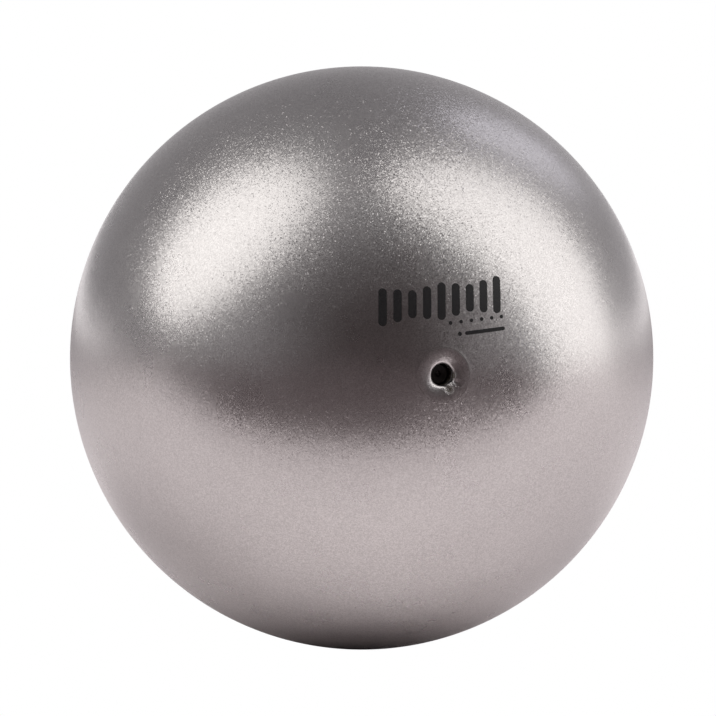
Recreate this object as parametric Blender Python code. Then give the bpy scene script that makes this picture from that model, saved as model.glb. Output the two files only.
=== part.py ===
"""Inflatable exercise ball, 160 mm across, with a rubber valve grommet and a push-in plug.

Run with: blender --background --python part.py

Frame: metres, +Z up, with the origin at the ball's centre. The valve axis is the world -Y axis,
so the valve faces the front. Every piece is an outline turned about that axis.

Pieces:
  ball_shell     the thick moulded skin, with a stepped hole for the grommet
  valve_grommet  a rubber fitting let into the hole, with a funnel mouth and a long teat inside
  valve_plug     a ribbed rubber plug that slides out of the grommet along the valve axis
"""

import math

import bmesh
import bpy

MM = 0.001

# Ball skin.
BALL_DIAMETER = 160.0 * MM
WALL = 3.0 * MM

# Clearances between faces that touch on the real ball.
GROMMET_GAP = 0.3 * MM
PLUG_HEAD_GAP = 0.3 * MM
PLUG_SHANK_GAP = 0.2 * MM

# Grommet: a head level with the skin, a neck through the wall, a flange under it, and a teat.
HEAD_DIAMETER = 14.2 * MM
HEAD_EDGE = 1.2 * MM
NECK_WALL = 2.1 * MM
FLANGE_DIAMETER = 19.0 * MM
FLANGE_EDGE = 1.2 * MM
TEAT_ROOT_WALL = 1.6 * MM
TEAT_TIP_WALL = 1.5 * MM
TEAT_TIP_ROUND = 0.8 * MM

# Mouth: a shallow funnel in the grommet's head that rolls over a round lip into the recess.
MOUTH_DIAMETER = 5.9 * MM
LIP_ROUND = 1.3 * MM
FUNNEL_SLOPE = math.radians(16.5)

# Plug, from its flat head down to its nose, and the channel that holds it.
PLUG_DEPTH = 4.7 * MM
PLUG_LENGTH = 15.0 * MM
PLUG_HEAD_THICKNESS = 1.2 * MM
PLUG_HEAD_ROUND = 0.3 * MM
PLUG_NOSE_LENGTH = 2.4 * MM
PLUG_NOSE_STAND_OUT = 1.8 * MM
CHANNEL_DIAMETER = 4.2 * MM
RIB_COUNT = 3
RIB_HEIGHT = 0.25 * MM
RIB_WIDTH = 1.1 * MM
PICK_HOLE_DIAMETER = 1.4 * MM
PICK_HOLE_DEPTH = 0.7 * MM

# Fineness of the turned shapes.
BALL_SEGMENTS = 64
GROMMET_SEGMENTS = 40
PLUG_SEGMENTS = 32
SKIN_STEPS_PER_HALF = 16
INSIDE_STEPS = 24
FUNNEL_STEPS = 4
LIP_STEPS = 5
FLANGE_STEPS = 2
ROUND_STEPS = 3
NOSE_STEPS = 4
SHARP_ANGLE = math.radians(35)
MERGE_DISTANCE = 1e-7

# Radii about the valve axis.
ball_radius = BALL_DIAMETER / 2
inside_radius = ball_radius - WALL
head_radius = HEAD_DIAMETER / 2
mouth_radius = MOUTH_DIAMETER / 2
neck_radius = mouth_radius + NECK_WALL
flange_radius = FLANGE_DIAMETER / 2
channel_radius = CHANNEL_DIAMETER / 2
teat_root_radius = mouth_radius + TEAT_ROOT_WALL
teat_tip_radius = channel_radius + TEAT_TIP_WALL


def sphere_height(sphere_radius, radius):
    """Height of a sphere above the ball's centre, at a radius from the valve axis."""
    return math.sqrt(sphere_radius**2 - radius**2)


# Heights above the ball's centre, along the valve axis.
head_underside = sphere_height(ball_radius, head_radius) - HEAD_EDGE
flange_bed = inside_radius - GROMMET_GAP
flange_underside = sphere_height(flange_bed, flange_radius) - FLANGE_EDGE
plug_face = ball_radius - PLUG_DEPTH
recess_floor = plug_face - PLUG_HEAD_THICKNESS - PLUG_SHANK_GAP
teat_tip = plug_face - PLUG_LENGTH + PLUG_NOSE_STAND_OUT


def shared(start, end, steps):
    """The values from start to end in equal steps, both ends included."""
    return [start + (end - start) * step / steps for step in range(steps + 1)]


def sphere_arc(sphere_radius, start, end, steps):
    """Points (radius, height) on a sphere about the centre, by angle from the valve axis."""
    points = []
    for angle in shared(start, end, steps):
        radius = sphere_radius * math.sin(angle)
        points.append((0.0 if radius < MERGE_DISTANCE else radius, sphere_radius * math.cos(angle)))
    return points


def round_arc(centre, radius, start, end, steps):
    """Points (radius, height) on a small arc. Angle 0 points outward and 90 degrees up."""
    return [
        (centre[0] + radius * math.cos(angle), centre[1] + radius * math.sin(angle))
        for angle in shared(start, end, steps)
    ]


def turned_mesh(name, outline, segments, closed):
    """Mesh of an outline of (radius, height) points spun about local Z.

    A closed outline makes a ring. An open one starts and ends on the axis.
    """
    shape = bmesh.new()
    corners = [shape.verts.new((radius, 0.0, height)) for radius, height in outline]
    pairs = list(zip(corners, corners[1:]))
    if closed:
        pairs.append((corners[-1], corners[0]))
    edges = [shape.edges.new(pair) for pair in pairs]
    bmesh.ops.spin(
        shape,
        geom=corners + edges,
        cent=(0.0, 0.0, 0.0),
        axis=(0.0, 0.0, 1.0),
        angle=math.tau,
        steps=segments,
        use_merge=True,
    )
    bmesh.ops.remove_doubles(shape, verts=shape.verts, dist=MERGE_DISTANCE)
    bmesh.ops.recalc_face_normals(shape, faces=shape.faces)
    mesh = bpy.data.meshes.new(name)
    shape.to_mesh(mesh)
    shape.free()
    mesh.shade_smooth()
    mesh.set_sharp_from_angle(angle=SHARP_ANGLE)
    return mesh


def shell_mesh():
    """The hollow skin, with a step in its hole under the grommet's head.

    The front and back halves meet in a ring of corners at the ball's widest place. The inside has
    rings of corners opposite those of the grommet's flange.
    """
    hole_radius = neck_radius + GROMMET_GAP
    rim_radius = head_radius + GROMMET_GAP
    step_height = head_underside - GROMMET_GAP
    hole_angle = math.asin(hole_radius / inside_radius)
    flange_angle = math.asin(flange_radius / inside_radius)
    rim_angle = math.asin(rim_radius / ball_radius)
    inside = sphere_arc(inside_radius, math.pi, flange_angle, INSIDE_STEPS)[:-1]
    bed = sphere_arc(inside_radius, flange_angle, hole_angle, FLANGE_STEPS)
    step = [(hole_radius, step_height), (rim_radius, step_height)]
    front = sphere_arc(ball_radius, rim_angle, math.pi / 2, SKIN_STEPS_PER_HALF)[:-1]
    back = sphere_arc(ball_radius, math.pi / 2, math.pi, SKIN_STEPS_PER_HALF)
    outline = inside + bed + step + front + back
    return turned_mesh("ball_shell", outline, BALL_SEGMENTS, closed=False)


def mouth_outline():
    """Outline of the grommet's face, from the head's edge over the funnel and the lip.

    The funnel starts level with the ball's surface and steepens evenly to FUNNEL_SLOPE. There the
    lip's arc takes over and turns down into the straight wall of the recess.
    """
    lip_start_radius = mouth_radius + LIP_ROUND * (1 - math.sin(FUNNEL_SLOPE))
    ball_slope = lip_start_radius / sphere_height(ball_radius, lip_start_radius)
    funnel_width = head_radius - lip_start_radius
    funnel_depth = (math.tan(FUNNEL_SLOPE) + ball_slope) * funnel_width / 2
    funnel = []
    for share in shared(0.0, 1.0, FUNNEL_STEPS)[:-1]:
        radius = head_radius - share * funnel_width
        funnel.append((radius, sphere_height(ball_radius, radius) - funnel_depth * share**2))
    lip_start_height = sphere_height(ball_radius, lip_start_radius) - funnel_depth
    lip_centre = (mouth_radius + LIP_ROUND, lip_start_height - LIP_ROUND * math.cos(FUNNEL_SLOPE))
    lip = round_arc(lip_centre, LIP_ROUND, math.pi / 2 + FUNNEL_SLOPE, math.pi, LIP_STEPS)
    return funnel + lip


def grommet_mesh():
    """The grommet: head, neck, flange and teat, bored for the plug."""
    recess = [(channel_radius, recess_floor), (mouth_radius, recess_floor)]
    face = list(reversed(mouth_outline()))
    neck = [(head_radius, head_underside), (neck_radius, head_underside)]
    flange = [
        (radius, sphere_height(flange_bed, radius))
        for radius in shared(neck_radius, flange_radius, FLANGE_STEPS)
    ]
    flange += [(flange_radius, flange_underside), (teat_root_radius, flange_underside)]
    tip_centre = (teat_tip_radius - TEAT_TIP_ROUND, teat_tip + TEAT_TIP_ROUND)
    teat = round_arc(tip_centre, TEAT_TIP_ROUND, 0.0, -math.pi / 2, ROUND_STEPS)
    teat.append((channel_radius, teat_tip))
    outline = recess + face + neck + flange + teat
    return turned_mesh("valve_grommet", outline, GROMMET_SEGMENTS, closed=True)


def plug_mesh():
    """The plug: a flat head with a hole for a pick, a ribbed shank and a round nose.

    Its heights count from the head's face, so everything else lies below zero.
    """
    head_radius_of_plug = mouth_radius - PLUG_HEAD_GAP
    rib_radius = channel_radius - PLUG_SHANK_GAP
    shank_radius = rib_radius - RIB_HEIGHT
    pick_radius = PICK_HOLE_DIAMETER / 2
    shank_top = -PLUG_HEAD_THICKNESS
    nose_top = PLUG_NOSE_LENGTH - PLUG_LENGTH

    pick_hole = [(0.0, -PICK_HOLE_DEPTH), (pick_radius, -PICK_HOLE_DEPTH), (pick_radius, 0.0)]
    edge_centre = (head_radius_of_plug - PLUG_HEAD_ROUND, -PLUG_HEAD_ROUND)
    head = round_arc(edge_centre, PLUG_HEAD_ROUND, math.pi / 2, 0.0, ROUND_STEPS)
    head += [(head_radius_of_plug, shank_top), (shank_radius, shank_top)]
    ribs = []
    for middle in shared(shank_top, nose_top, RIB_COUNT + 1)[1:-1]:
        ribs.append((shank_radius, middle + RIB_WIDTH / 2))
        ribs.append((rib_radius, middle))
        ribs.append((shank_radius, middle - RIB_WIDTH / 2))
    nose = [
        (shank_radius * math.cos(angle), nose_top - PLUG_NOSE_LENGTH * math.sin(angle))
        for angle in shared(0.0, math.pi / 2, NOSE_STEPS)[:-1]
    ]
    nose.append((0.0, -PLUG_LENGTH))
    outline = pick_hole + head + ribs + nose
    return turned_mesh("valve_plug", outline, PLUG_SEGMENTS, closed=False)


def make_material(name, color, metallic, roughness):
    """A Principled material with one colour."""
    material = bpy.data.materials.new(name)
    material.use_nodes = True
    shader = material.node_tree.nodes["Principled BSDF"]
    shader.inputs["Base Color"].default_value = (*color, 1.0)
    shader.inputs["Metallic"].default_value = metallic
    shader.inputs["Roughness"].default_value = roughness
    return material


def add_piece(name, mesh, parent, height, material):
    """Adds the object for one physical piece, at a height on the valve axis."""
    mesh.materials.append(material)
    piece = bpy.data.objects.new(name, mesh)
    bpy.context.scene.collection.objects.link(piece)
    piece.parent = parent
    piece.location = (0.0, 0.0, height)


def main():
    for old in list(bpy.data.objects):
        bpy.data.objects.remove(old)

    # Local +Z under this empty is the valve axis, world -Y.
    valve_axis = bpy.data.objects.new("valve_axis", None)
    bpy.context.scene.collection.objects.link(valve_axis)
    valve_axis.rotation_euler = (math.pi / 2, 0.0, 0.0)

    silver_coat = make_material("silver_coat", (0.55, 0.53, 0.53), 0.9, 0.35)
    worn_coat = make_material("worn_coat", (0.58, 0.55, 0.54), 0.8, 0.40)
    black_rubber = make_material("black_rubber", (0.03, 0.03, 0.03), 0.0, 0.60)

    add_piece("ball_shell", shell_mesh(), valve_axis, 0.0, silver_coat)
    add_piece("valve_grommet", grommet_mesh(), valve_axis, 0.0, worn_coat)
    add_piece("valve_plug", plug_mesh(), valve_axis, plug_face, black_rubber)


main()
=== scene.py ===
"""Looks of the small silver exercise ball: a pearl coat over a moulded skin, a worn valve mouth,
a rubber stopper deep in its recess and a plain printed mark, on a white table in a soft studio.

Lengths are in metres. The valve faces world -Y and +Z is up. Angles round the valve axis count
from world +X towards +Z, and heights on that axis count from the ball's centre towards the valve.
"""

import math

import bmesh
import bpy
import numpy as np
from mathutils import Matrix, Vector
from mathutils import noise as perlin


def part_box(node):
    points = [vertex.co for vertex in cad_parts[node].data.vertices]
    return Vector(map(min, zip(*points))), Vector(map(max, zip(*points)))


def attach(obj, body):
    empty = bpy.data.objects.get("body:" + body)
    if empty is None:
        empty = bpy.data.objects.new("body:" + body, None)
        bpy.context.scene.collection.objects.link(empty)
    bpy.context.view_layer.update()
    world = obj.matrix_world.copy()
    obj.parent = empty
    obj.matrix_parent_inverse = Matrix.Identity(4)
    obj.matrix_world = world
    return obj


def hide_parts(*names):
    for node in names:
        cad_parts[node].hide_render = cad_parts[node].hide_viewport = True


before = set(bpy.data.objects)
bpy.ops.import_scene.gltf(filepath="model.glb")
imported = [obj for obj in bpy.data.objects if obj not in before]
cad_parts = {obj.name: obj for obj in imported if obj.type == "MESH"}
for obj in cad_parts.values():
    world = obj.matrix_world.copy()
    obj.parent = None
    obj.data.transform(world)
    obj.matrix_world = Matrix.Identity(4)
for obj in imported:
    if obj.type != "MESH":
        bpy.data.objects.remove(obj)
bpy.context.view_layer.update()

MM = 0.001

# The ball, from the frame.
shell_low, shell_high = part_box("ball_shell")
grommet_low, grommet_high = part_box("valve_grommet")
plug_low, plug_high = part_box("valve_plug")
ball_radius = (shell_high.x - shell_low.x) / 2
flange_radius = (grommet_high.x - grommet_low.x) / 2
teat_tip = -grommet_high.y
plug_face = -plug_low.y
plug_tip = -plug_high.y
plug_radius = (plug_high.x - plug_low.x) / 2
floor_height = shell_low.z

# The ball's other sizes, as in the CAD model.
WALL = 3.0 * MM
GAP = 0.3 * MM
HEAD_RADIUS = 7.1 * MM
HEAD_EDGE = 1.2 * MM
NECK_RADIUS = 5.05 * MM
FLANGE_EDGE = 1.2 * MM
TEAT_ROOT_RADIUS = 4.55 * MM
TEAT_TIP_RADIUS = 3.6 * MM
TEAT_TIP_ROUND = 0.8 * MM
MOUTH_RADIUS = 2.95 * MM
LIP_ROUND = 1.3 * MM
FUNNEL_SLOPE = math.radians(16.5)
CHANNEL_RADIUS = 2.1 * MM
RECESS_FLOOR = 73.9 * MM
PLUG_HEAD_THICKNESS = 1.2 * MM
PLUG_SHANK_RADIUS = 1.65 * MM
PLUG_NOSE_LENGTH = 2.4 * MM
RIB_COUNT = 3
RIB_HEIGHT = 0.25 * MM
RIB_WIDTH = 1.1 * MM
PICK_HOLE_RADIUS = 0.7 * MM
PICK_HOLE_DEPTH = 0.7 * MM

# Fineness of the turned shapes.
SKIN_SEGMENTS = 288
COLLAR_SEGMENTS = 320
STOPPER_SEGMENTS = 96
INSIDE_STEPS = 40
NEAR_VALVE_STEPS = 24
OUTSIDE_STEPS = 180
FUNNEL_STEPS = 30
LIP_STEPS = 26
BORE_STEPS = 20
FLANGE_STEPS = 6
TIP_STEPS = 6
SHARP_ANGLE = math.radians(50)


# ---------------------------------------------------------------- shapes

def stations(start, end, steps):
    """The values from start to end in equal steps, both ends included."""
    return [start + (end - start) * step / steps for step in range(steps + 1)]


def sphere_height(sphere_radius, radius):
    """Height of a sphere above the ball's centre, at a radius from the valve axis."""
    return math.sqrt(sphere_radius**2 - radius**2)


def sphere_points(sphere_radius, angles):
    """Points (radius, height) on a sphere, by angle from the valve axis."""
    return [(sphere_radius * math.sin(a), sphere_radius * math.cos(a)) for a in angles]


def arc_points(centre, radius, start, end, steps):
    """Points (radius, height) on a small arc. Angle 0 points outward and 90 degrees up."""
    return [
        (centre[0] + radius * math.cos(a), centre[1] + radius * math.sin(a))
        for a in stations(start, end, steps)
    ]


def hump(offset, reach):
    """A round hump, 1 tall where the offset is nothing, that fades out past its reach."""
    return np.exp(-((offset / reach) ** 2))


def waves(angle, rows):
    """A sum of waves round the valve axis. Each row has a number of waves, a start and a size."""
    return sum(size * np.sin(count * angle + start) for count, start, size in rows)


def angle_between(angle, side):
    """The signed angle from a side to each angle, the short way round."""
    return np.angle(np.exp(1j * (angle - side)))


def turned_piece(name, outline, segments, closed, reshape=None):
    """A closed piece: an outline of (radius, height) points spun about the valve axis.

    A closed outline makes a ring. An open one starts and ends on the axis. reshape takes and
    returns arrays of the angle, radius and height of every corner.
    """
    ends = 0 if closed else 1
    middle = outline[ends:len(outline) - ends]
    radii = np.array([point[0] for point in middle])
    heights = np.array([point[1] for point in middle])
    angles = np.arange(segments) * math.tau / segments
    angle, radius = np.meshgrid(angles, radii)
    height = np.repeat(heights[:, None], segments, axis=1)
    if reshape:
        angle, radius, height = reshape(angle, radius, height)
    corners = np.stack([radius * np.cos(angle), -height, radius * np.sin(angle)], axis=-1)
    corners = [tuple(corner) for corner in corners.reshape(-1, 3)]
    rings = len(middle)
    faces = []
    for ring in range(rings if closed else rings - 1):
        below = ring * segments
        above = (ring + 1) % rings * segments
        for side in range(segments):
            beside = (side + 1) % segments
            faces.append((below + side, below + beside, above + beside, above + side))
    if not closed:
        for pole, ring in ((outline[0], 0), (outline[-1], rings - 1)):
            corners.append((0.0, -pole[1], 0.0))
            for side in range(segments):
                beside = (side + 1) % segments
                faces.append((ring * segments + side, ring * segments + beside, len(corners) - 1))
    return solid_piece(name, corners, faces)


def solid_piece(name, corners, faces):
    """A named object from corners and faces, with its faces pointing out and shaded smooth."""
    shape = bmesh.new()
    made = [shape.verts.new(corner) for corner in corners]
    for face in faces:
        shape.faces.new([made[index] for index in face])
    bmesh.ops.recalc_face_normals(shape, faces=shape.faces)
    mesh = bpy.data.meshes.new(name)
    shape.to_mesh(mesh)
    shape.free()
    mesh.shade_smooth()
    mesh.set_sharp_from_angle(angle=SHARP_ANGLE)
    piece = bpy.data.objects.new(name, mesh)
    bpy.context.scene.collection.objects.link(piece)
    return piece


# ---------------------------------------------------------------- material nodes

def add_node(tree, kind, inputs=None, **settings):
    """Adds a node. inputs maps sockets to values or to the sockets that feed them."""
    node = tree.nodes.new(kind)
    for name, value in settings.items():
        setattr(node, name, value)
    for name, value in (inputs or {}).items():
        if isinstance(value, bpy.types.NodeSocket):
            tree.links.new(value, node.inputs[name])
        else:
            node.inputs[name].default_value = value
    return node


def number(tree, operation, first, second=0.0):
    """A Math node's result."""
    return add_node(tree, "ShaderNodeMath", {0: first, 1: second}, operation=operation).outputs[0]


def vector(tree, operation, first, second=(0.0, 0.0, 0.0)):
    """A Vector Math node's vector."""
    return add_node(tree, "ShaderNodeVectorMath", {0: first, 1: second}, operation=operation).outputs[0]


def scaled(tree, value, factor):
    """A vector times a number."""
    node = add_node(tree, "ShaderNodeVectorMath", {0: value, "Scale": factor}, operation="SCALE")
    return node.outputs[0]


def along(tree, value, direction):
    """How far a vector reaches in a direction."""
    inputs = {0: value, 1: tuple(direction)}
    return add_node(tree, "ShaderNodeVectorMath", inputs, operation="DOT_PRODUCT").outputs["Value"]


def distance_from(tree, place, point):
    """Distance from a point to the place on the surface."""
    inputs = {0: place, 1: point}
    return add_node(tree, "ShaderNodeVectorMath", inputs, operation="DISTANCE").outputs["Value"]


def coordinate(tree, value, axis):
    """A vector's X, Y or Z."""
    return add_node(tree, "ShaderNodeSeparateXYZ", {"Vector": value}).outputs[axis]


def spread(tree, value, low, high, to_low=0.0, to_high=1.0):
    """A value from low to high, moved evenly to another range and held at its ends."""
    inputs = {"Value": value, "From Min": low, "From Max": high, "To Min": to_low, "To Max": to_high}
    return add_node(tree, "ShaderNodeMapRange", inputs).outputs[0]


def weighted(tree, first, second, share):
    """A mix of two numbers: share of the second, the rest of the first."""
    return number(tree, "ADD", number(tree, "MULTIPLY", first, 1 - share),
                  number(tree, "MULTIPLY", second, share))


def blended(tree, factor, first, second):
    """A colour between two colours, which are the Mix node's sockets 6 and 7."""
    return add_node(tree, "ShaderNodeMix", {0: factor, 6: first, 7: second}, data_type="RGBA").outputs[2]


def noise(tree, place, size, detail=2.0, roughness=0.5):
    """A Noise texture whose features are about size metres wide, from 0 to 1."""
    inputs = {"Vector": place, "Scale": 1.0 / size, "Detail": detail, "Roughness": roughness}
    return add_node(tree, "ShaderNodeTexNoise", inputs).outputs["Fac"]


def cells(tree, place, size):
    """A Voronoi texture with cells about size metres wide."""
    return add_node(tree, "ShaderNodeTexVoronoi", {"Vector": place, "Scale": 1.0 / size})


def surface_normal(tree):
    """The normal of the surface, before any bump."""
    return add_node(tree, "ShaderNodeNewGeometry").outputs["Normal"]


def bumped(tree, normal, height, depth):
    """A normal disturbed by a height map from 0 to 1 that stands depth metres tall."""
    inputs = {"Height": height, "Distance": depth, "Strength": 1.0, "Normal": normal}
    return add_node(tree, "ShaderNodeBump", inputs).outputs["Normal"]


def new_material(name):
    """A new Principled material: itself, its node tree, its shader and the object's coordinates."""
    material = bpy.data.materials.new(name)
    material.use_nodes = True
    tree = material.node_tree
    shader = tree.nodes["Principled BSDF"]
    place = add_node(tree, "ShaderNodeTexCoord").outputs["Object"]
    return material, tree, shader, place


def rgb(red, green, blue):
    """An opaque colour."""
    return (red, green, blue, 1.0)


WHITE = rgb(1.0, 1.0, 1.0)

# Where most values of a noise texture lie.
NOISE_RANGE = (0.3, 0.7)


# ---------------------------------------------------------------- materials

VALVE_POINT = (0.0, -ball_radius, 0.0)

COAT_LIGHT = rgb(0.610, 0.588, 0.580)
COAT_DEEP = rgb(0.380, 0.362, 0.358)
COAT_ROUGHNESS = (0.26, 0.31)
PEEL_SIZE = 1.1 * MM
PEEL_DEPTH = 0.005 * MM
OVERSPRAY_SIZE = 0.35 * MM
OVERSPRAY_DEPTH = 0.007 * MM
OVERSPRAY_FADE = (5.0 * MM, 13.0 * MM)
SMUDGE_SIZE = 24.0 * MM
SMUDGE_SHARE = 0.35

# Flakes. Their tilt grows by TILT_SHARES from the one height to the other.
FLAKE_SIZE = 0.24 * MM
FLAKE_TILT = 0.04
SPARK_TILT = 0.31
SPARK_RARITY = 2.5
TILT_HEIGHTS = (20.0 * MM, 72.0 * MM)
TILT_SHARES = (0.68, 2.0)


def flakes(tree, place):
    """Metal flakes: the surface normal tipped at random from one to the next, and their tone.

    Most flakes lie nearly flat and a few stand steep. They stand steeper towards the ball's top,
    where the coat sparkles most.
    """
    fleck = cells(tree, place, FLAKE_SIZE)
    tips = vector(tree, "SUBTRACT", fleck.outputs["Color"], (0.5, 0.5, 0.5))
    chance = add_node(tree, "ShaderNodeTexWhiteNoise", {"Vector": fleck.outputs["Position"]})
    rare = number(tree, "POWER", chance.outputs["Value"], SPARK_RARITY)
    tilt = number(tree, "ADD", number(tree, "MULTIPLY", rare, SPARK_TILT), FLAKE_TILT)
    share = spread(tree, coordinate(tree, place, "Z"), *TILT_HEIGHTS, *TILT_SHARES)
    lean = scaled(tree, tips, number(tree, "MULTIPLY", tilt, share))
    tone = add_node(tree, "ShaderNodeSeparateColor", {"Color": fleck.outputs["Color"]}).outputs["Red"]
    return vector(tree, "NORMALIZE", vector(tree, "ADD", surface_normal(tree), lean)), tone


def coat_layers(tree, place):
    """The pearl coat's colour, roughness and normal: flakes, orange peel, overspray and smudges."""
    tipped, flake_tone = flakes(tree, place)
    near_valve = spread(tree, distance_from(tree, place, VALVE_POINT), *OVERSPRAY_FADE, 1.0, 0.0)
    peel = noise(tree, place, PEEL_SIZE)
    overspray = number(tree, "MULTIPLY", noise(tree, place, OVERSPRAY_SIZE, detail=1.0), near_valve)
    normal = bumped(tree, bumped(tree, tipped, peel, PEEL_DEPTH), overspray, OVERSPRAY_DEPTH)
    smudge = noise(tree, place, SMUDGE_SIZE, detail=4.0, roughness=0.6)
    color = blended(tree, weighted(tree, flake_tone, smudge, SMUDGE_SHARE), COAT_DEEP, COAT_LIGHT)
    rough = spread(tree, smudge, *NOISE_RANGE, *COAT_ROUGHNESS)
    return color, rough, normal


def silver_coat(name):
    """Metallic pearl coat on the ball's skin."""
    material, tree, shader, place = new_material(name)
    color, rough, normal = coat_layers(tree, place)
    shader.inputs["Metallic"].default_value = 1.0
    tree.links.new(color, shader.inputs["Base Color"])
    tree.links.new(rough, shader.inputs["Roughness"])
    tree.links.new(normal, shader.inputs["Normal"])
    return material


def skin_spot(angle, radius, depth):
    """The point under the skin by a depth, at an angle round the valve axis and a radius from it."""
    height = sphere_height(ball_radius, radius) - depth
    return (radius * math.cos(angle), -height, radius * math.sin(angle))


RUBBER_DEEP = rgb(0.012, 0.010, 0.008)
RUBBER_WORN = rgb(0.060, 0.048, 0.038)

# The coat ends at this height in the bore, and is rubbed off in patches of (middle, reach).
BORE_COAT_END = 77.4 * MM
BORE_COAT_FADE = 0.9 * MM
RUBBED_PATCHES = (
    (skin_spot(math.radians(-64), 4.3 * MM, 0.7 * MM), 2.7 * MM),
    (skin_spot(math.radians(-5), 2.9 * MM, 0.9 * MM), 1.9 * MM),
)
RUBBED_RANGE = (0.34, 0.48)
BARE_SPECULAR = 0.3
BARE_ROUGHER = 0.3
GRIT_SIZE = 0.30 * MM
GRIT_DEPTH = 0.03 * MM
GRIT_LEAST = 0.25


def worn_coat(name):
    """The same coat round the mouth, rubbed off inside the bore and where the needle goes in."""
    material, tree, shader, place = new_material(name)
    color, rough, normal = coat_layers(tree, place)
    height = number(tree, "MULTIPLY", coordinate(tree, place, "Y"), -1.0)
    grit = noise(tree, place, GRIT_SIZE, detail=4.0, roughness=0.65)
    edge = number(tree, "ADD", height, number(tree, "MULTIPLY", grit, BORE_COAT_FADE / 2))
    bore = spread(tree, edge, BORE_COAT_END, BORE_COAT_END + BORE_COAT_FADE, 1.0, 0.0)
    around = 0.0
    for middle, reach in RUBBED_PATCHES:
        patch = spread(tree, distance_from(tree, place, middle), reach / 3, reach, 1.0, 0.0)
        around = number(tree, "MAXIMUM", around, patch)
    rubbed = spread(tree, number(tree, "MULTIPLY", around, grit), *RUBBED_RANGE)
    bare = number(tree, "MAXIMUM", bore, rubbed)
    rubber = blended(tree, grit, RUBBER_DEEP, RUBBER_WORN)
    rougher = number(tree, "ADD", rough, number(tree, "MULTIPLY", bare, BARE_ROUGHER))
    scuffed = number(tree, "MULTIPLY", grit, number(tree, "ADD", around, GRIT_LEAST))
    shader.inputs["Specular IOR Level"].default_value = BARE_SPECULAR
    tree.links.new(blended(tree, bare, color, rubber), shader.inputs["Base Color"])
    tree.links.new(number(tree, "SUBTRACT", 1.0, bare), shader.inputs["Metallic"])
    tree.links.new(rougher, shader.inputs["Roughness"])
    tree.links.new(bumped(tree, normal, scuffed, GRIT_DEPTH), shader.inputs["Normal"])
    return material


RUBBER_ROUGHNESS = (0.50, 0.70)
RUBBER_GRAIN_SIZE = 0.35 * MM
RUBBER_GRAIN_DEPTH = 0.02 * MM
DUST_SIZE = 1.6 * MM
DUST_RANGE = (0.45, 0.75)


def black_rubber(name):
    """Bare black rubber with a fine moulded grain and a little dust."""
    material, tree, shader, place = new_material(name)
    grain = noise(tree, place, RUBBER_GRAIN_SIZE, detail=3.0)
    dust = noise(tree, place, DUST_SIZE, detail=4.0, roughness=0.7)
    tone = number(tree, "MULTIPLY", spread(tree, dust, *DUST_RANGE), grain)
    normal = bumped(tree, surface_normal(tree), grain, RUBBER_GRAIN_DEPTH)
    tree.links.new(blended(tree, tone, RUBBER_DEEP, RUBBER_WORN), shader.inputs["Base Color"])
    tree.links.new(spread(tree, grain, *NOISE_RANGE, *RUBBER_ROUGHNESS), shader.inputs["Roughness"])
    tree.links.new(normal, shader.inputs["Normal"])
    return material


INK_DEEP = rgb(0.004, 0.004, 0.005)
INK_WORN = rgb(0.013, 0.012, 0.012)
INK_ROUGHNESS = (0.40, 0.50)
INK_SPECULAR = 0.3
INK_GRAIN_SIZE = 0.5 * MM


def black_ink(name):
    """Screen-printed ink: satin black, with the orange peel of the coat under it."""
    material, tree, shader, place = new_material(name)
    grain = noise(tree, place, INK_GRAIN_SIZE, detail=3.0)
    normal = bumped(tree, surface_normal(tree), noise(tree, place, PEEL_SIZE), PEEL_DEPTH)
    shader.inputs["Specular IOR Level"].default_value = INK_SPECULAR
    tree.links.new(blended(tree, grain, INK_DEEP, INK_WORN), shader.inputs["Base Color"])
    tree.links.new(spread(tree, grain, *NOISE_RANGE, *INK_ROUGHNESS), shader.inputs["Roughness"])
    tree.links.new(normal, shader.inputs["Normal"])
    return material


# ---------------------------------------------------------------- the skin

# The thick rubber round the valve swells the skin softly.
SWELL_REACH = 9.5 * MM
SWELL_HEIGHT = 0.60 * MM

# The seam between skin and grommet, drowned in the coat: a hairline on a low, uneven bead.
SEAM_WIDTH = 0.03 * MM
BEAD_HEIGHT = 0.035 * MM
BEAD_WIDTH = 0.45 * MM
BEAD_SIDE = math.radians(42)
BEAD_LEAST = 0.12
BEAD_WAVES = ((5, 0.0, 0.2), (9, 1.0, 0.15))

# The skin is meshed more finely up to this angle from the valve axis.
NEAR_VALVE_ANGLE = math.radians(7)


def fit_piece(piece, material, body, replaced=None):
    """Gives a piece its material and its body, and hides the CAD node it stands for."""
    piece.data.materials.append(material)
    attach(piece, body)
    if replaced:
        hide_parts(replaced)
    return piece


def swell(radius):
    """How far the skin stands above the round at a radius from the valve axis."""
    return SWELL_HEIGHT * hump(radius, SWELL_REACH)


def near_valve_shape(angle, radius, height):
    """Swells the skin round the valve and raises the coat over the seam, most on its upper right."""
    side = BEAD_LEAST + (1 - BEAD_LEAST) * np.maximum(np.cos(angle - BEAD_SIDE), 0.0) ** 2
    bead = side * (1.0 + waves(angle, BEAD_WAVES)) * hump(radius - HEAD_RADIUS, BEAD_WIDTH)
    on_skin = height > sphere_height(ball_radius, HEAD_RADIUS) - HEAD_EDGE / 2
    near_top = height > ball_radius - 2 * WALL
    return angle, radius, height + BEAD_HEIGHT * bead * on_skin + swell(radius) * near_top


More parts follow.
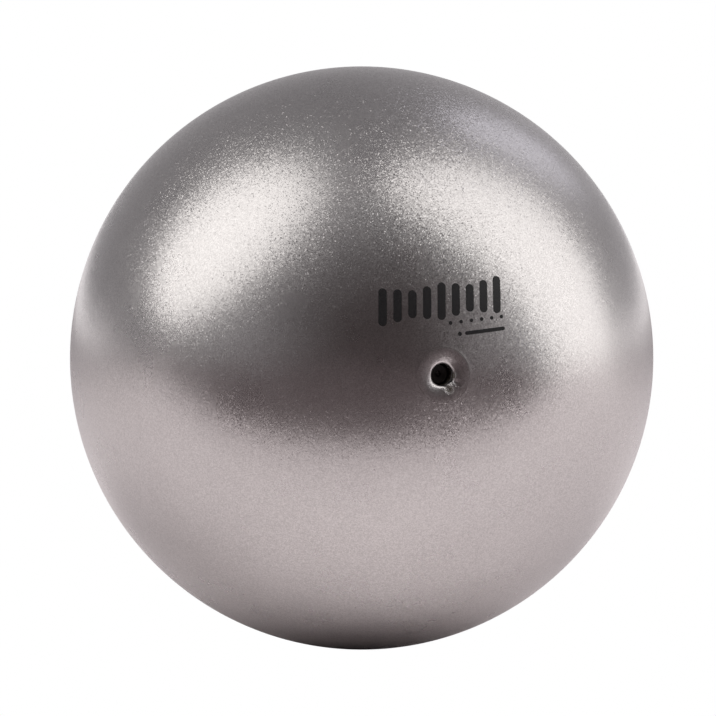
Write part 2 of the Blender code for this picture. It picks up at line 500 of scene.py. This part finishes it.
def make_skin(material):
    """The thick moulded skin, hollow, with the stepped hole for the grommet."""
    inside_radius = ball_radius - WALL
    hole_radius = NECK_RADIUS + GAP
    rim_radius = HEAD_RADIUS + SEAM_WIDTH
    step_height = sphere_height(ball_radius, HEAD_RADIUS) - HEAD_EDGE - GAP
    rim_angle = math.asin(rim_radius / ball_radius)
    hole_angle = math.asin(hole_radius / inside_radius)
    inside = sphere_points(inside_radius, stations(math.pi, hole_angle, INSIDE_STEPS))
    step = [(hole_radius, step_height), (rim_radius, step_height)]
    near = stations(rim_angle, NEAR_VALVE_ANGLE, NEAR_VALVE_STEPS)
    rest = stations(NEAR_VALVE_ANGLE, math.pi, OUTSIDE_STEPS)
    outside = sphere_points(ball_radius, near[:-1] + rest[:-1])
    outline = [(0.0, -inside_radius)] + inside[1:] + step + outside + [(0.0, -ball_radius)]
    skin = turned_piece("skin", outline, SKIN_SEGMENTS, closed=False, reshape=near_valve_shape)
    return fit_piece(skin, material, "ball", "ball_shell")


# ---------------------------------------------------------------- the valve's collar

# The lip, where the funnel rolls over into the bore.
lip_radius = MOUTH_RADIUS + LIP_ROUND * (1 - math.sin(FUNNEL_SLOPE))
funnel_width = HEAD_RADIUS - lip_radius
ball_slope = lip_radius / sphere_height(ball_radius, lip_radius)
funnel_depth = (math.tan(FUNNEL_SLOPE) + ball_slope) * funnel_width / 2
lip_height = sphere_height(ball_radius, lip_radius) - funnel_depth

# What the wear reaches: the face, the top of the bore, and past the lip by these lengths.
FACE_MARGIN = 0.2 * MM
BORE_MARGIN = 0.01 * MM
BORE_FLOOR_MARGIN = 1.0 * MM
LIP_WEAR_REACH = 1.1 * MM
BORE_WEAR_REACH = 2.2 * MM

# The lip is drawn in, with swells as (waves, start, size) and nicks as (side, spread, depth).
LIP_TIGHTENED = 0.20 * MM
LIP_SWELLS = ((2, 0.6, 0.035 * MM), (3, 2.1, 0.03 * MM), (5, 1.0, 0.02 * MM))
LIP_NICKS = (
    (math.radians(-72), math.radians(9), 0.30 * MM),
    (math.radians(-30), math.radians(10), 0.25 * MM),
)
PULLED_DOWN = 0.8
LIP_RIDGE_SIDE = math.radians(225)
LIP_RIDGE_SPREAD = math.radians(38)
LIP_RIDGE_HEIGHT = 0.16 * MM

# It sinks: most in a crescent on its lower left and in a wide funnel on its upper right, and
# least on its right, where it is filled.
LIP_SINK = 0.38 * MM
LIP_SINK_REACH = 1.6 * MM
SINK_LEAST = 0.20
CRESCENT_SIDE = math.radians(222)
CRESCENT_SPREAD = math.radians(40)
FUNNEL_SIDE = math.radians(50)
FUNNEL_SPREAD = math.radians(36)
FUNNEL_EDGE = 6.7 * MM
FILL_SIDE = math.radians(-8)
FILL_SPREAD = math.radians(36)
FILL_SHARE = 0.5

# A slim shred of coat that stands up, at a place (rightward, upward) from the valve axis.
SHRED_SPOT = (2.15 * MM, -2.55 * MM)
SHRED_REACH = 0.30 * MM
SHRED_HEIGHT = 0.22 * MM
SHRED_SLIMNESS = 3.0

# Scuffing on the lower right of the face. Where its share is under the cutoff it is left out.
SCUFF_GRAIN = 0.34 * MM
SCUFF_DEPTH = 0.065 * MM
SCUFF_SIDE = math.radians(-55)
SCUFF_SPREAD = math.radians(42)
SCUFF_RADIUS = 4.6 * MM
SCUFF_REACH = 1.5 * MM
SCUFF_LEAST = 0.25
SCUFF_CUTOFF = 0.02


def mouth_points():
    """Outline of the grommet's face: a funnel that rolls over the lip into the recess."""
    points = []
    for share in stations(0.0, 1.0, FUNNEL_STEPS)[:-1]:
        radius = HEAD_RADIUS - share * funnel_width
        points.append((radius, sphere_height(ball_radius, radius) - funnel_depth * share**2))
    centre = (MOUTH_RADIUS + LIP_ROUND, lip_height - LIP_ROUND * math.cos(FUNNEL_SLOPE))
    return points + arc_points(centre, LIP_ROUND, math.pi / 2 + FUNNEL_SLOPE, math.pi, LIP_STEPS)


def lip_pull(angle):
    """How far the lip is pulled outward at each angle, by its swells and its nicks."""
    pull = waves(angle, LIP_SWELLS)
    for side, reach, depth in LIP_NICKS:
        pull = pull + depth * hump(angle_between(angle, side), reach)
    return pull


def sink_share(angle, radius):
    """The share of LIP_SINK by which each corner sinks."""
    crescent = hump(angle_between(angle, CRESCENT_SIDE), CRESCENT_SPREAD)
    funnel = hump(angle_between(angle, FUNNEL_SIDE), FUNNEL_SPREAD)
    filled = hump(angle_between(angle, FILL_SIDE), FILL_SPREAD)
    near = hump(radius - MOUTH_RADIUS, LIP_SINK_REACH)
    wide = np.clip((FUNNEL_EDGE - radius) / (FUNNEL_EDGE - lip_radius), 0.0, 1.0)
    deep = SINK_LEAST + (1.0 - SINK_LEAST) * crescent - FILL_SHARE * filled
    return deep * near * (1.0 - funnel) + funnel * wide


def shred_rise(angle, radius):
    """How far the shred stands up. It runs from its upper left to its lower right."""
    across = radius * np.cos(angle) - SHRED_SPOT[0]
    up = radius * np.sin(angle) - SHRED_SPOT[1]
    spread_out = (across - up) ** 2 + (SHRED_SLIMNESS * (across + up)) ** 2
    return SHRED_HEIGHT * np.exp(-spread_out / (2.0 * SHRED_REACH**2))


def scuff_rise(angle, radius, on_face):
    """How far the scuffing lifts or lowers each corner."""
    share = SCUFF_LEAST + hump(angle_between(angle, SCUFF_SIDE), SCUFF_SPREAD)
    share = share * hump(radius - SCUFF_RADIUS, SCUFF_REACH) * on_face
    rise = np.zeros_like(radius)
    for ring, corner in zip(*np.nonzero(share > SCUFF_CUTOFF)):
        turn = angle[ring, corner]
        reach = radius[ring, corner] / SCUFF_GRAIN
        grain = perlin.noise(Vector((reach * math.cos(turn), reach * math.sin(turn), 0.0)))
        rise[ring, corner] = SCUFF_DEPTH * grain * share[ring, corner]
    return rise


def worn_mouth(angle, radius, height):
    """Wears the lip: it swells and sinks a little, is nicked, and is scuffed on its lower right."""
    angle, radius, height = near_valve_shape(angle, radius, height)
    on_face = (height > lip_height - FACE_MARGIN) & (radius < HEAD_RADIUS + SEAM_WIDTH)
    in_bore = (radius < lip_radius + BORE_MARGIN) & (height > RECESS_FLOOR + BORE_FLOOR_MARGIN)
    inward = hump(np.maximum(lip_height - height, 0.0), BORE_WEAR_REACH) * (on_face | in_bore)
    weight = hump(np.maximum(radius - lip_radius, 0.0), LIP_WEAR_REACH) * inward
    pull = lip_pull(angle)
    ridge = LIP_RIDGE_HEIGHT * hump(angle_between(angle, LIP_RIDGE_SIDE), LIP_RIDGE_SPREAD)
    radius = radius + weight * (pull - LIP_TIGHTENED)
    height = height + weight * (ridge - PULLED_DOWN * np.maximum(pull, 0.0))
    height = height - LIP_SINK * sink_share(angle, radius) * inward
    height = height + shred_rise(angle, radius) * on_face
    return angle, radius, height + scuff_rise(angle, radius, on_face)


def make_collar(material):
    """The rubber grommet, its face sprayed over with the ball's coat."""
    bed_radius = ball_radius - WALL - GAP
    head_underside = sphere_height(ball_radius, HEAD_RADIUS) - HEAD_EDGE
    flange_underside = sphere_height(bed_radius, flange_radius) - FLANGE_EDGE
    face = mouth_points()[::-1]
    bore_heights = stations(RECESS_FLOOR, face[0][1], BORE_STEPS)[:-1]
    bore = [(MOUTH_RADIUS, height) for height in bore_heights]
    neck = [(HEAD_RADIUS, head_underside), (NECK_RADIUS, head_underside)]
    flange_radii = stations(NECK_RADIUS, flange_radius, FLANGE_STEPS)
    flange = [(radius, sphere_height(bed_radius, radius)) for radius in flange_radii]
    flange += [(flange_radius, flange_underside), (TEAT_ROOT_RADIUS, flange_underside)]
    tip_centre = (TEAT_TIP_RADIUS - TEAT_TIP_ROUND, teat_tip + TEAT_TIP_ROUND)
    teat = arc_points(tip_centre, TEAT_TIP_ROUND, 0.0, -math.pi / 2, TIP_STEPS)
    channel = [(CHANNEL_RADIUS, teat_tip), (CHANNEL_RADIUS, RECESS_FLOOR)]
    outline = bore + face + neck + flange + teat + channel
    collar = turned_piece("valve_collar", outline, COLLAR_SEGMENTS, closed=True, reshape=worn_mouth)
    return fit_piece(collar, material, "ball", "valve_grommet")


# ---------------------------------------------------------------- the stopper

HEAD_ROUND = 0.35 * MM
HEAD_ROUND_START = math.pi / 2 + 0.5
HEAD_ROUND_STEPS = 8
HEAD_BEVEL = 0.1 * MM
HEAD_DISH = 0.10 * MM
HOLE_ROUND = 0.12 * MM
HOLE_ROUND_STEPS = 5
HOLE_FLOOR_SHARE = 0.7
HOLE_CONE = 0.1 * MM
SHANK_STEPS = 96
NOSE_STEPS = 16


def make_stopper(material):
    """The push-in stopper: a dished head with a hole for a pick, a ribbed shank, a round nose."""
    shank_top = plug_face - PLUG_HEAD_THICKNESS
    nose_top = plug_tip + PLUG_NOSE_LENGTH
    hole_floor = plug_face - PICK_HOLE_DEPTH
    hole = [(0.0, hole_floor - HOLE_CONE), (PICK_HOLE_RADIUS * HOLE_FLOOR_SHARE, hole_floor)]
    rim = (PICK_HOLE_RADIUS + HOLE_ROUND, plug_face - HEAD_DISH - HOLE_ROUND)
    hole += arc_points(rim, HOLE_ROUND, math.pi, math.pi / 2, HOLE_ROUND_STEPS)
    edge = (plug_radius - HEAD_ROUND, plug_face - HEAD_ROUND)
    head = arc_points(edge, HEAD_ROUND, HEAD_ROUND_START, 0.0, HEAD_ROUND_STEPS)
    head += [(plug_radius, shank_top + HEAD_BEVEL), (plug_radius - HEAD_BEVEL, shank_top)]
    head.append((PLUG_SHANK_RADIUS, shank_top))
    rib_middles = stations(shank_top, nose_top, RIB_COUNT + 1)[1:-1]
    shank = []
    for height in stations(shank_top, nose_top, SHANK_STEPS)[1:-1]:
        nearest = min(abs(height - middle) for middle in rib_middles)
        rib = RIB_HEIGHT * math.cos(math.pi / 2 * min(1.0, nearest / (RIB_WIDTH / 2)))
        shank.append((PLUG_SHANK_RADIUS + rib, height))
    nose = [
        (PLUG_SHANK_RADIUS * math.cos(a), nose_top - PLUG_NOSE_LENGTH * math.sin(a))
        for a in stations(0.0, math.pi / 2, NOSE_STEPS)[:-1]
    ]
    outline = hole + head + shank + nose + [(0.0, plug_tip)]
    stopper = turned_piece("stopper", outline, STOPPER_SEGMENTS, closed=False)
    return fit_piece(stopper, material, "plug", "valve_plug")


# ---------------------------------------------------------------- the printed mark

# Plain rounded bars over a row of dots, and under it a lone dot and a dash. The mark's middle is
# in arc lengths on the skin, east and north of the valve. Its rows are turned by MARK_TURN, and
# places in them count from its middle.
MARK_TURN = math.radians(5.5)
MARK_LEAN = math.radians(9)
MARK_CENTRE = (0.3 * MM, 18.3 * MM)
BAR_COUNT = 9
BAR_STEP = 3.9 * MM
BAR_ROW = 0.8 * MM
BAR_WIDTH = 2.2 * MM
BAR_LENGTH = 8.6 * MM
BAR_SWELL = 1.3 * MM
BARS_PER_WAVE = 4
DOT_COUNT = 6
DOT_START = 1.5 * MM
DOT_STEP = 2.9 * MM
DOT_ROW = -5.1 * MM
DOT_WIDTH = 1.0 * MM
DASH_ROW = -8.2 * MM
DASH_MIDDLE = 10.8 * MM
DASH_LENGTH = 11.5 * MM
DASH_WIDTH = 1.0 * MM
LONE_DOT_PLACE = 3.6 * MM
LONE_DOT_WIDTH = 1.1 * MM

# A stroke of ink stands on the coat and is rooted in it. Its round ends are cut flat at the tip.
INK_HEIGHT = 0.025 * MM
INK_ROOT = 0.03 * MM
CAP_START = 0.04 * math.pi
CAP_STEPS = 7
BAR_STEPS = 8
STROKE_SIDES = (-1.0, -0.5, 0.0, 0.5, 1.0)


def skin_point(east, north, height):
    """A point at a height over the skin, by arc lengths east and north of the valve."""
    rise = north / ball_radius
    turn = east / (ball_radius * math.cos(rise))
    reach = ball_radius + height
    across = reach * math.cos(rise) * math.sin(turn)
    up = reach * math.sin(rise)
    return (across, -reach * math.cos(rise) * math.cos(turn) - swell(math.hypot(across, up)), up)


def mark_point(across, up, height):
    """A point of the mark, from its centre and along its own rows."""
    east = MARK_CENTRE[0] + across * math.cos(MARK_TURN) - up * math.sin(MARK_TURN)
    north = MARK_CENTRE[1] + across * math.sin(MARK_TURN) + up * math.cos(MARK_TURN)
    return skin_point(east, north, height)


def add_stroke(corners, faces, middle, length, width, lean=0.0):
    """Adds one closed patch of ink: a bar with round ends, leaning by an angle from its row's up."""
    half = width / 2
    straight = max(length - width, 0.0) / 2
    cap = stations(CAP_START, math.pi / 2, CAP_STEPS)
    rows = [(-straight - half * math.cos(a), half * math.sin(a)) for a in cap]
    rows += [(place, half) for place in stations(-straight, straight, BAR_STEPS)[1:-1] if straight]
    rows += [(-place, reach) for place, reach in reversed(rows[:len(cap)])]
    first = len(corners)
    for layer in (-INK_ROOT, INK_HEIGHT):
        for place, reach in rows:
            for side in STROKE_SIDES:
                across = middle[0] + place * math.sin(lean) + side * reach * math.cos(lean)
                up = middle[1] + place * math.cos(lean) - side * reach * math.sin(lean)
                corners.append(mark_point(across, up, layer))
    columns = len(STROKE_SIDES)
    top = first + len(rows) * columns
    for row in range(len(rows) - 1):
        for column in range(columns - 1):
            a = row * columns + column
            b, c, d = a + 1, a + columns + 1, a + columns
            faces.append(tuple(top + corner for corner in (a, b, c, d)))
            faces.append(tuple(first + corner for corner in (d, c, b, a)))
        for column in (0, columns - 1):
            a = row * columns + column
            faces.append((first + a, first + a + columns, top + a + columns, top + a))
    for row in (0, len(rows) - 1):
        for column in range(columns - 1):
            a = row * columns + column
            faces.append((first + a, first + a + 1, top + a + 1, top + a))


def make_mark(material):
    """The printed mark above the valve, in place of any lettering."""
    corners, faces = [], []
    for index in range(BAR_COUNT):
        place = (index - (BAR_COUNT - 1) / 2) * BAR_STEP
        length = BAR_LENGTH + BAR_SWELL * math.cos(index * math.tau / BARS_PER_WAVE)
        add_stroke(corners, faces, (place, BAR_ROW), length, BAR_WIDTH, MARK_LEAN)
    for index in range(DOT_COUNT):
        add_stroke(corners, faces, (DOT_START + index * DOT_STEP, DOT_ROW), 0.0, DOT_WIDTH)
    add_stroke(corners, faces, (LONE_DOT_PLACE, DASH_ROW), 0.0, LONE_DOT_WIDTH)
    add_stroke(corners, faces, (DASH_MIDDLE, DASH_ROW), DASH_LENGTH, DASH_WIDTH, math.pi / 2)
    mark = solid_piece("printed_mark", corners, faces)
    return fit_piece(mark, material, "ball")


# ---------------------------------------------------------------- camera

# It stands on the valve's left, a little above the ball's middle. Lens and sensor are in
# millimetres.
CAMERA_AZIMUTH = math.radians(-15.15)
CAMERA_ELEVATION = math.radians(3.22)
CAMERA_DISTANCE = 1.2
CAMERA_AIM_LEFT = 1.0 * MM
CAMERA_LENS = 219.5
CAMERA_SENSOR = 36.0
CAMERA_NEAREST = 0.01
CAMERA_FARTHEST = 50.0

camera_side = Vector((math.sin(CAMERA_AZIMUTH), -math.cos(CAMERA_AZIMUTH), 0.0))
camera_right = Vector((math.cos(CAMERA_AZIMUTH), math.sin(CAMERA_AZIMUTH), 0.0))


def make_camera():
    """A long lens aimed just left of the ball's middle."""
    data = bpy.data.cameras.new("camera")
    data.lens = CAMERA_LENS
    data.sensor_width = CAMERA_SENSOR
    data.clip_start = CAMERA_NEAREST
    data.clip_end = CAMERA_FARTHEST
    camera = bpy.data.objects.new("camera", data)
    bpy.context.scene.collection.objects.link(camera)
    back = camera_side * math.cos(CAMERA_ELEVATION) + Vector((0, 0, math.sin(CAMERA_ELEVATION)))
    camera.rotation_euler = back.to_track_quat("Z", "Y").to_euler()
    camera.location = back * CAMERA_DISTANCE - camera_right * CAMERA_AIM_LEFT
    bpy.context.scene.camera = camera


# ---------------------------------------------------------------- stage

FLOOR_FRONT = 0.187
FLOOR_REACH = 4.0
TABLE_COLOR = rgb(0.79, 0.738, 0.748)
# Painted shade: the table's colour darkens to this one towards its front edge, starting at the distance
# below, as if less light reached it there.
TABLE_EDGE_PAINTED_SHADE = rgb(0.62, 0.57, 0.58)
TABLE_SHADE_START = 0.105


def make_floor():
    """The table top, its colour darkened by painted shade towards its front edge, a hand's width before
    the ball.

    The camera itself sees it plain white.
    """
    material = bpy.data.materials.new("white_table")
    material.use_nodes = True
    tree = material.node_tree
    tree.nodes.clear()
    place = add_node(tree, "ShaderNodeTexCoord").outputs["Object"]
    # Painted shade towards the front edge, mixed into the table's colour.
    edge = spread(tree, along(tree, place, camera_side), TABLE_SHADE_START, FLOOR_FRONT)
    color = blended(tree, edge, TABLE_COLOR, TABLE_EDGE_PAINTED_SHADE)
    shade = add_node(tree, "ShaderNodeBsdfDiffuse", {"Color": color})
    glow = add_node(tree, "ShaderNodeEmission", {"Color": WHITE, "Strength": 1.0})
    seen = add_node(tree, "ShaderNodeLightPath").outputs["Is Camera Ray"]
    mix = add_node(tree, "ShaderNodeMixShader", {0: seen, 1: shade.outputs[0], 2: glow.outputs[0]})
    out = add_node(tree, "ShaderNodeOutputMaterial")
    tree.links.new(mix.outputs[0], out.inputs["Surface"])
    sides = (-FLOOR_REACH, FLOOR_REACH)
    corners = [camera_side * FLOOR_FRONT + camera_right * side for side in sides]
    corners += [camera_right * side - camera_side * FLOOR_REACH for side in reversed(sides)]
    mesh = bpy.data.meshes.new("table_top")
    mesh.from_pydata([(c.x, c.y, floor_height) for c in corners], [], [(0, 1, 2, 3)])
    mesh.materials.append(material)
    floor = bpy.data.objects.new("table_top", mesh)
    bpy.context.scene.collection.objects.link(floor)


# ---------------------------------------------------------------- room and lights

# The room by direction. A dark front, with its middle at an azimuth and an elevation in degrees,
# gives way to pale walls, which are brighter to the right and darker upward.
DARK_MIDDLE = (11, 7)
DARK_INNER = math.cos(math.radians(8))
DARK_OUTER = math.cos(math.radians(60))
DARK_COLOR = rgb(0.056, 0.044, 0.045)
WALL_COLOR = rgb(0.395, 0.382, 0.397)
RIGHT_GAIN = 0.16
UP_LOSS = 0.27

# Behind the ball is the foot of a white backdrop, with its glow above it. How wide each is goes
# by the cosine of the angle from straight behind, and how tall by the sine of the elevation.
SWEEP_COLOR = rgb(1.55, 1.50, 1.52)
SWEEP_WIDE = (0.2, 0.6)
SWEEP_MIDDLE = (0.8, 1.0)
MIDDLE_SHARE = 0.1
FOOT_TOP = math.sin(math.radians(5))
GLOW_TOP = math.sin(math.radians(45))
GLOW_SHARE = 0.25

# What lies below the table's front edge.
BELOW_COLOR = rgb(0.14, 0.11, 0.115)
BELOW_FADE = (-0.01, 0.0)

LIGHT_DISTANCE = 1.6
WARM_LIGHT = (1.0, 0.992, 0.968)
COOL_LIGHT = (0.9, 0.9, 1.0)
PLAIN_LIGHT = (1.0, 1.0, 1.0)
FILL_AZIMUTHS = (-22, 50)


def studio_direction(azimuth, elevation):
    """Unit vector by azimuth, rightward from the camera's side, and elevation, in degrees."""
    turn, rise = math.radians(azimuth), math.radians(elevation)
    flat = camera_side * math.cos(turn) + camera_right * math.sin(turn)
    return flat * math.cos(rise) + Vector((0.0, 0.0, math.sin(rise)))


def make_world():
    """The room round the table. The camera itself sees plain white."""
    world = bpy.data.worlds.new("studio")
    bpy.context.scene.world = world
    world.use_nodes = True
    tree = world.node_tree
    tree.nodes.clear()
    way = add_node(tree, "ShaderNodeTexCoord").outputs["Generated"]
    toward = along(tree, way, studio_direction(*DARK_MIDDLE))
    inputs = {"Value": toward, "From Min": DARK_INNER, "From Max": DARK_OUTER}
    away = add_node(tree, "ShaderNodeMapRange", inputs, interpolation_type="SMOOTHSTEP").outputs[0]
    slope = along(tree, way, camera_right * RIGHT_GAIN - Vector((0, 0, UP_LOSS)))
    walls = scaled(tree, WALL_COLOR[:3], number(tree, "ADD", slope, 1.0))
    room = blended(tree, away, DARK_COLOR, walls)
    rise = coordinate(tree, way, "Z")
    behind = along(tree, way, -camera_side)
    middle = spread(tree, behind, *SWEEP_MIDDLE)
    foot_width = weighted(tree, spread(tree, behind, *SWEEP_WIDE), middle, MIDDLE_SHARE)
    foot_height = spread(tree, rise, FOOT_TOP / 2, FOOT_TOP, 1.0, 0.0)
    glow_height = spread(tree, rise, 0.0, GLOW_TOP, GLOW_SHARE, 0.0)
    foot = number(tree, "MULTIPLY", foot_width, foot_height)
    glow = number(tree, "MULTIPLY", middle, glow_height)
    room = blended(tree, number(tree, "MAXIMUM", foot, glow), room, SWEEP_COLOR)
    room = blended(tree, spread(tree, rise, *BELOW_FADE, 1.0, 0.0), room, BELOW_COLOR)
    seen = add_node(tree, "ShaderNodeLightPath").outputs["Is Camera Ray"]
    shown = blended(tree, seen, room, WHITE)
    background = add_node(tree, "ShaderNodeBackground", {"Color": shown, "Strength": 1.0})
    out = add_node(tree, "ShaderNodeOutputWorld")
    tree.links.new(background.outputs[0], out.inputs["Surface"])


def add_light(name, azimuth, elevation, roll, size, radiance, color, glossy=True):
    """An oval soft light aimed at the ball. Its angles are in degrees.

    size is its width and height at one metre's distance. radiance is how bright its face looks.
    """
    data = bpy.data.lights.new(name, "AREA")
    data.shape = "ELLIPSE"
    data.size = size[0] * LIGHT_DISTANCE
    data.size_y = size[1] * LIGHT_DISTANCE
    area = math.pi / 4 * data.size * data.size_y
    data.energy = radiance * math.pi * area
    data.color = color
    light = bpy.data.objects.new(name, data)
    bpy.context.scene.collection.objects.link(light)
    direction = studio_direction(azimuth, elevation)
    light.location = direction * LIGHT_DISTANCE
    turned = direction.to_track_quat("Z", "Y").to_matrix() @ Matrix.Rotation(math.radians(roll), 3, "Z")
    light.rotation_euler = turned.to_euler()
    light.visible_glossy = glossy
    light.visible_camera = False


def make_lights():
    """Two tall softboxes lean in over the ball, with a faint cool one behind on the right.

    Lamps in front brighten the table under the ball's overhang. The coat doesn't show them.
    """
    add_light("left_softbox", azimuth=-73, elevation=42, roll=-20,
              size=(0.84, 1.27), radiance=1.70, color=WARM_LIGHT)
    add_light("right_softbox", azimuth=85.5, elevation=30, roll=19.5,
              size=(0.79, 2.65), radiance=1.47, color=WARM_LIGHT)
    add_light("back_light", azimuth=141.5, elevation=41, roll=0,
              size=(0.30, 0.62), radiance=0.95, color=COOL_LIGHT)
    for azimuth in FILL_AZIMUTHS:
        add_light("table_fill", azimuth, elevation=45, roll=0,
                  size=(0.6, 0.5), radiance=5.6, color=PLAIN_LIGHT, glossy=False)


# ---------------------------------------------------------------- build

make_camera()
make_world()
make_floor()
make_lights()
make_skin(silver_coat("silver_pearl"))
make_collar(worn_coat("worn_pearl"))
make_stopper(black_rubber("bare_rubber"))
make_mark(black_ink("satin_ink"))
bpy.context.scene.view_settings.view_transform = "Standard"
